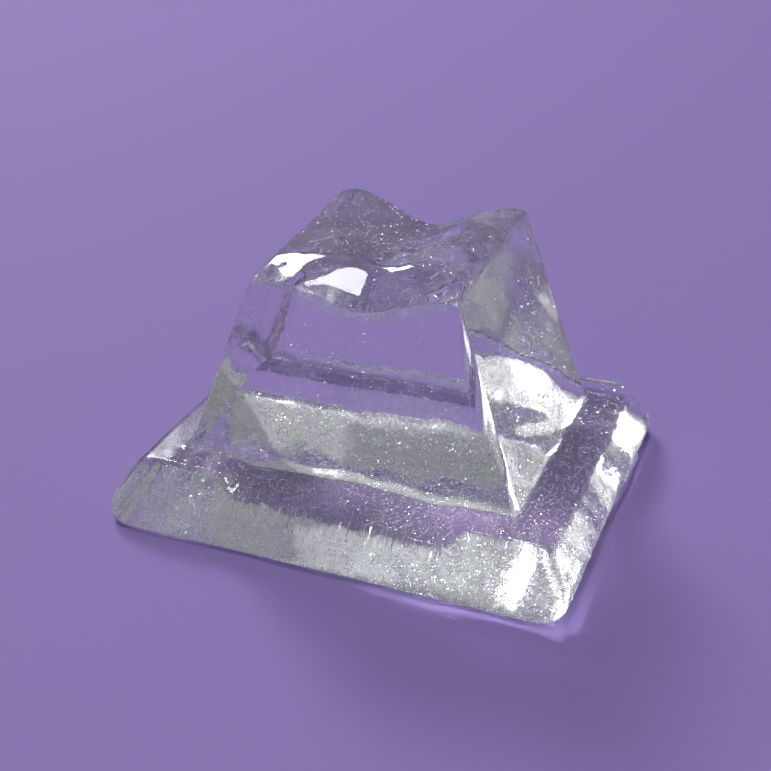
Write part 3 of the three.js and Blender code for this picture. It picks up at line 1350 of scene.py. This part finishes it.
@dataclass(frozen=True)
class FrostAndAir:
    """All that is sealed in the ice or lies in its skin, layer by layer."""

    body: IceBody
    edge_reach: float = 24.0
    edge_clouds: int = 13
    edge_front: float = -29.8
    edge_spread: Triple = (4.0, 1.0, 1.0)
    edge_lift: float = 0.3
    under: Cover = Cover(high=0.2)

    def crown_edge(self) -> tuple[Cloud, ...]:
        """Clouds in a row along the crown's melted front edge, where white flecks make a painted highlight.

        Returns:
            The clouds, from left to right.
        """
        crown = self.body.crown
        places = np.linspace(-self.edge_reach, self.edge_reach, self.edge_clouds)
        heights = self.body.trough.height(places, np.full(len(places), crown.front), crown) + self.edge_lift
        middles = [(float(x), self.edge_front, float(z)) for x, z in zip(places, heights)]
        return tuple(Cloud(middle, self.edge_spread, 1.0) for middle in middles)

    def skin_frost(self) -> Flecks:
        """White flecks in the skin, dense on the bevels and at the back of the sole.

        Returns:
            The layer.
        """
        clouds = (
            Spot.FRONT_LEDGE.cloud(3.0), Spot.RIGHT_LEDGE.cloud(2.0), Spot.FRONT_BEVEL.cloud(3.0),
            Spot.RIGHT_CORNER.cloud(8.0), Spot.MIDDLE_BEVEL_FLECKS.cloud(30.0),
            Spot.BACK_SOLE_EDGE.cloud(90.0),
        )
        cover = Cover(clouds, base=0.5, low=1.0)
        return Flecks("skin_frost", 5, 10.0, cover, smallest=0.08, largest=0.26, depth=0.05)

    def skin_gaps(self) -> Flecks:
        """Flat glinting gaps in the skin, dense wherever the photo sparkles.

        Returns:
            The layer.
        """
        clouds = (
            Spot.FRONT_RIGHT.cloud(6.0), Spot.UPPER_FRONT.cloud(1.5), Spot.LOWER_FRONT.cloud(2.0),
            Spot.RIGHT_FACE.cloud(4.0), Spot.TOP.cloud(5.0), Spot.FRONT_BEVEL.cloud(9.0),
            Spot.RIGHT_CORNER.cloud(9.0), Spot.RIGHT_BEVEL.cloud(6.0), Spot.FRONT_LEDGE.cloud(3.0),
        )
        cover = Cover(clouds, base=0.4, low=1.0)
        return Flecks("skin_gaps", 6, 40.0, cover, smallest=0.08, largest=0.32, depth=0.5,
                      thickness=0.2, tilt=0.26)

    def skin_scratches(self) -> Scratches:
        """Long scratches on the top, the ledges and the front.

        Returns:
            The layer.
        """
        clouds = (
            Spot.TOP_MIDDLE.cloud(0.8), Spot.TOP_FRONT_RIGHT.cloud(2.0), Spot.WIDE_FRONT_LEDGE.cloud(1.6),
            Spot.RIGHT_LEDGE_MIDDLE.cloud(1.2), Spot.WIDE_FRONT_RIGHT.cloud(0.8),
        )
        cover = Cover(clouds, base=0.18, low=1.0)
        return Scratches("skin_scratches", 11, 4.0, cover, shortest=0.8, longest=7.0, radius=0.05, bend=2.5)

    def scuffs(self) -> Scratches:
        """Short scuffs crowded in the top's streak, the rubbed strip and the crown's right corner.

        Returns:
            The layer.
        """
        clouds = (
            Spot.STREAK_BACK_HALF.cloud(4.0), Spot.STREAK_FRONT_HALF.cloud(4.0),
            Spot.RUBBED_STRIP_MIDDLE.cloud(3.0), Spot.RUBBED_STRIP_FOOT.cloud(1.5),
            Spot.CROWN_CORNER.cloud(1.5), Spot.FRONT_RIGHT_MIDDLE.cloud(0.3),
        )
        cover = Cover(clouds, base=0.0, low=1.0)
        return Scratches("scuffs", 13, 60.0, cover, shortest=0.4, longest=3.0, radius=0.032, bend=0.8,
                         points_along=4)

    def build(self, block: bpy.types.Object) -> list[bpy.types.Object]:
        """Makes each layer in its finish.

        Args:
            block: the block.

        Returns:
            The layers' pieces.
        """
        frost = WhiteFrost("white_frost", translucency=0.12).make()
        chipped = WhiteFrost("chipped_frost", translucency=0.6).make()
        bubble_wall = WhiteFrost("bubble_wall", roughness=(0.1, 0.3)).make()
        gap = AirGap().make()
        # Frost on the worn crown edge, and also a painted highlight: the white flecks crowd in a thin row to
        # draw the edge's line of light.
        edge = Cover(self.crown_edge(), base=0.0, low=40.0)
        bevel_clouds = (Spot.LEFT_BEVEL_FACE.cloud(60.0), Spot.MIDDLE_BEVEL_FOOT.cloud(10.0))
        bevel = Cover(bevel_clouds, base=0.0, low=0.5)
        layers = (
            (Flecks("sole_frost", 3, 130.0, self.under, smallest=0.08, largest=0.26, depth=0.6), frost),
            (Flecks("sole_gaps", 4, 230.0, self.under, smallest=0.06, largest=0.26, depth=0.8,
                    thickness=0.2, tilt=0.26), gap),
            (self.skin_frost(), chipped),
            (self.skin_gaps(), gap),
            (Scratches("sole_scratches", 7, 6.0, self.under, shortest=0.8, longest=6.0, radius=0.05,
                       bend=2.2, depth=0.15), frost),
            (self.skin_scratches(), chipped),
            (self.scuffs(), chipped),
            # Dense white flecks along the crown's front edge: partly frost, partly a painted highlight.
            (Flecks("edge_frost_and_painted_highlight", 19, 5000.0, edge, smallest=0.05, largest=0.15, depth=0.02), frost),
            (Flecks("bevel_frost", 23, 100.0, bevel, smallest=0.05, largest=0.14, depth=0.03), frost),
            (AirBubbles(), bubble_wall),
        )
        return [layer.build(block, material) for layer, material in layers]


# The studio

@dataclass(frozen=True)
class SoftBox:
    """A soft light that faces the block, in metres, degrees and watts.

    Its azimuth is counted from the camera's side, 90 to the right, 180 behind the block and 270 to the left.
    """

    name: str
    azimuth: float
    elevation: float
    distance: float
    width: float
    height: float
    power: float
    colour: Triple = (1.0, 1.0, 1.0)

    def build(self, camera_azimuth: float, target: Vector) -> bpy.types.Object:
        """Puts up the light.

        Args:
            camera_azimuth: the camera's azimuth, in degrees.
            target: the point it faces.

        Returns:
            The light's object.
        """
        lamp = bpy.data.lights.new(self.name, "AREA")
        lamp.shape = "RECTANGLE"
        lamp.size = self.width
        lamp.size_y = self.height
        lamp.energy = self.power
        lamp.color = self.colour
        made = link_object(self.name, lamp)
        turn = math.radians(self.azimuth + camera_azimuth)
        rise = math.radians(self.elevation)
        away = Vector((math.sin(turn) * math.cos(rise), -math.cos(turn) * math.cos(rise), math.sin(rise)))
        made.location = target + away * self.distance
        made.rotation_euler = (-away).to_track_quat("-Z", "Y").to_euler()
        made.visible_camera = False
        return made


@dataclass(frozen=True)
class Studio:
    """The floor, the lights and the camera. The camera's place and target are in millimetres."""

    lens: float = 61.6
    sensor: float = 36.0
    nearest: float = 0.01
    azimuth: float = 21.65
    elevation: float = 28.19
    camera_place: Triple = (112.0, -289.8, 193.1)
    target: Triple = (0.0, 0.0, 30.0)
    floor_size: float = 3.0
    floor_gap: float = 0.02
    floor_colour: Colour = (0.290, 0.210, 0.505, 1.0)
    floor_roughness: float = 0.8
    floor_shine: float = 0.1
    sky: Colour = (0.135, 0.14, 0.15, 1.0)
    most_bounces: int = 24
    glossy_bounces: int = 12
    diffuse_bounces: int = 6
    brightest_bounce: float = 12.0
    softboxes: tuple[SoftBox, ...] = (
        SoftBox("key", 202.0, 35.0, 4.0, 0.95, 0.95, 74.0),
        SoftBox("overhead", 200.0, 77.0, 2.2, 0.34, 0.34, 12.0),
        SoftBox("high_front", 345.0, 62.0, 2.2, 0.30, 0.30, 4.4),
        SoftBox("low_front", 345.0, 22.0, 2.2, 1.2, 0.8, 2.4),
        SoftBox("strip_1", 212.5, 30.0, 2.4, 0.18, 2.7, 1.15),
        SoftBox("strip_2", 218.0, 30.0, 2.4, 0.14, 2.7, 1.2),
        SoftBox("strip_3", 223.5, 30.0, 2.4, 0.17, 2.7, 1.1),
        SoftBox("strip_4", 230.0, 30.0, 2.4, 0.21, 2.7, 1.5),
        SoftBox("strip_5", 236.5, 30.0, 2.4, 0.17, 2.7, 1.0),
        SoftBox("low_left", 262.0, 8.0, 2.4, 1.5, 0.6, 2.4),
        SoftBox("behind_left", 193.0, 28.0, 2.5, 1.0, 2.4, 2.3, (0.95, 0.98, 1.0)),
        SoftBox("behind_low", 169.0, 15.0, 2.5, 1.0, 1.35, 0.45, (0.92, 0.97, 1.0)),
        SoftBox("behind_high", 169.0, 47.0, 2.5, 1.0, 1.2, 0.8, (0.95, 0.98, 1.0)),
        SoftBox("right_fill", 110.0, 15.0, 2.2, 2.2, 0.9, 0.9),
        SoftBox("front_fill", 25.0, 42.0, 2.2, 1.8, 1.2, 1.4),
        SoftBox("left_fill", 320.0, 30.0, 2.2, 1.2, 1.1, 1.0),
    )

    def build_camera(self) -> None:
        """Puts up the camera at the photograph's viewing angle."""
        made = link_object("camera", bpy.data.cameras.new("camera"))
        made.data.lens = self.lens
        made.data.sensor_width = self.sensor
        made.data.clip_start = self.nearest
        made.location = Vector(self.camera_place) * MM
        made.rotation_euler = Euler((math.radians(90.0 - self.elevation), 0.0, math.radians(self.azimuth)))
        bpy.context.scene.camera = made

    def build_floor(self) -> None:
        """Lays a plain floor just under the block."""
        half = self.floor_size / 2
        drop = -self.floor_gap * MM
        corners = [(-half, -half, drop), (half, -half, drop), (half, half, drop), (-half, half, drop)]
        mesh = bpy.data.meshes.new("floor")
        mesh.from_pydata(corners, [], [(0, 1, 2, 3)])
        made = link_object("floor", mesh)
        maker = MaterialMaker("plain_floor", Base_Color=self.floor_colour, Roughness=self.floor_roughness)
        maker.feed(maker.shader.inputs["Specular IOR Level"], self.floor_shine)
        mesh.materials.append(maker.material)

    def build_light(self) -> None:
        """Puts up the sky and the soft boxes, and says how far light is followed through the ice."""
        world = bpy.data.worlds.new("studio")
        world.use_nodes = True
        world.node_tree.nodes["Background"].inputs["Color"].default_value = self.sky
        scene = bpy.context.scene
        scene.world = world
        for softbox in self.softboxes:
            softbox.build(self.azimuth, Vector(self.target) * MM)
        scene.view_settings.view_transform = "Standard"
        scene.cycles.use_denoising = True
        scene.cycles.max_bounces = self.most_bounces
        scene.cycles.transmission_bounces = self.most_bounces
        scene.cycles.glossy_bounces = self.glossy_bounces
        scene.cycles.diffuse_bounces = self.diffuse_bounces
        scene.cycles.blur_glossy = 0.0
        scene.cycles.sample_clamp_indirect = self.brightest_bounce

    def build(self) -> None:
        """Builds the camera, the floor and the lights."""
        self.build_camera()
        self.build_floor()
        self.build_light()


def attach(piece: bpy.types.Object) -> None:
    """Makes a piece ride on the block's body, and logs how many triangles it has.

    Args:
        piece: the finished piece.
    """
    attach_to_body(piece, BODY)
    triangles = sum(len(polygon.vertices) - 2 for polygon in piece.data.polygons)
    log.info("%s: %d triangles", piece.name, triangles)


def main() -> None:
    """Builds the studio and the block's pieces in order."""
    logging.basicConfig(level=logging.INFO, format="%(name)s %(message)s")
    Studio().build()
    body = IceBody()
    block = body.build("ice")
    pieces = FrostAndAir(body).build(block)
    block.data.materials.append(ClearIce().make())
    for piece in [block, *pieces]:
        attach(piece)
    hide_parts(NODE)


if __name__ == "__main__":
    main()
